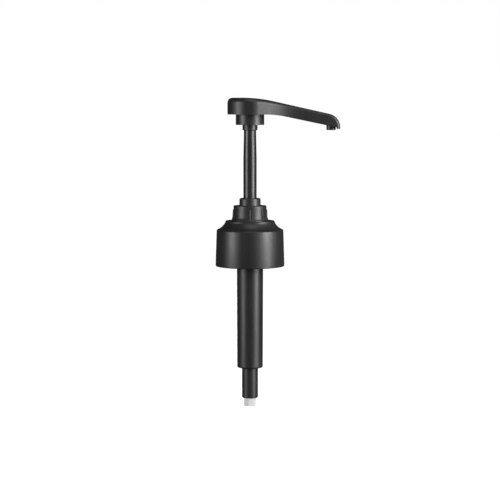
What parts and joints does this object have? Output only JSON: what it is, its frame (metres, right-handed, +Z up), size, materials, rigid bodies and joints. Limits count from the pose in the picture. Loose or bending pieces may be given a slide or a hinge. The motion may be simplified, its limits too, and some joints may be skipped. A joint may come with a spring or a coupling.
{
  "type": "condiment pump dispenser",
  "caption": "Hand pump for a sauce bottle: a long hooded spout head on a hollow plunger, a screw closure for a 38 mm neck, and a sprung ball-valve cylinder with a dip tube.",
  "frame": {"origin": "pump axis at the underside of the neck gasket, where the bottle's lip seats", "axes": "+Z up along the plunger, +X the way the spout points at rest"},
  "size_m": [0.0769, 0.0428, 0.1915],
  "materials": {
    "hood_black": "satin moulded polypropylene, almost black",
    "stem_black": "satin moulded acetal, almost black",
    "collar_black": "satin moulded polypropylene, almost black",
    "closure_black": "satin moulded polypropylene, almost black",
    "cylinder_black": "satin moulded polypropylene, almost black",
    "tube_natural": "translucent natural polyethylene",
    "valve_white": "matt white polyethylene",
    "seal_rubber": "matt nitrile rubber",
    "gasket_foam": "matt white foamed polyethylene",
    "steel": "drawn stainless steel wire",
    "ball_steel": "polished stainless steel"
  },
  "bodies": {
    "pump_body": {"pump_cylinder": "cylinder_black", "dip_tube": "tube_natural", "inlet_cage": "valve_white", "return_spring": "steel", "neck_gasket": "gasket_foam", "lock_collar": "collar_black", "stem_bush": "valve_white", "stem_wiper": "seal_rubber", "collar_gasket": "seal_rubber"},
    "closure": {"closure_cap": "closure_black"},
    "piston": {"piston_seal": "seal_rubber"},
    "plunger": {"handle_shell": "hood_black", "head_core": "hood_black", "spout_tube": "tube_natural", "outlet_nozzle": "hood_black", "stem": "stem_black", "ball_stop": "valve_white", "piston_carrier": "valve_white", "piston_nut": "valve_white"},
    "ball_upper": {"delivery_ball": "ball_steel"},
    "ball_lower": {"inlet_ball": "ball_steel"}
  },
  "joints": [
    {"name": "closure_turn", "type": "hinge", "parent": "pump_body", "child": "closure", "pos_m": [0, 0, 0], "axis": [0, 0, 1], "continuous": true},
    {"name": "piston_stroke", "type": "slide", "parent": "pump_body", "child": "piston", "axis": [0, 0, 1], "range_m": [-0.0495, 0], "stiffness_N_per_m": 350, "springref_m": 0.016, "deforming": ["return_spring"]},
    {"name": "head_swivel", "type": "hinge", "parent": "piston", "child": "plunger", "pos_m": [0, 0, 0], "axis": [0, 0, 1], "continuous": true},
    {"name": "delivery_ball_lift", "type": "slide", "parent": "plunger", "child": "ball_upper", "axis": [0, 0, 1], "range_m": [0, 0.0019]},
    {"name": "inlet_ball_lift", "type": "slide", "parent": "pump_body", "child": "ball_lower", "axis": [0, 0, 1], "range_m": [0, 0.0024]}
  ]
}
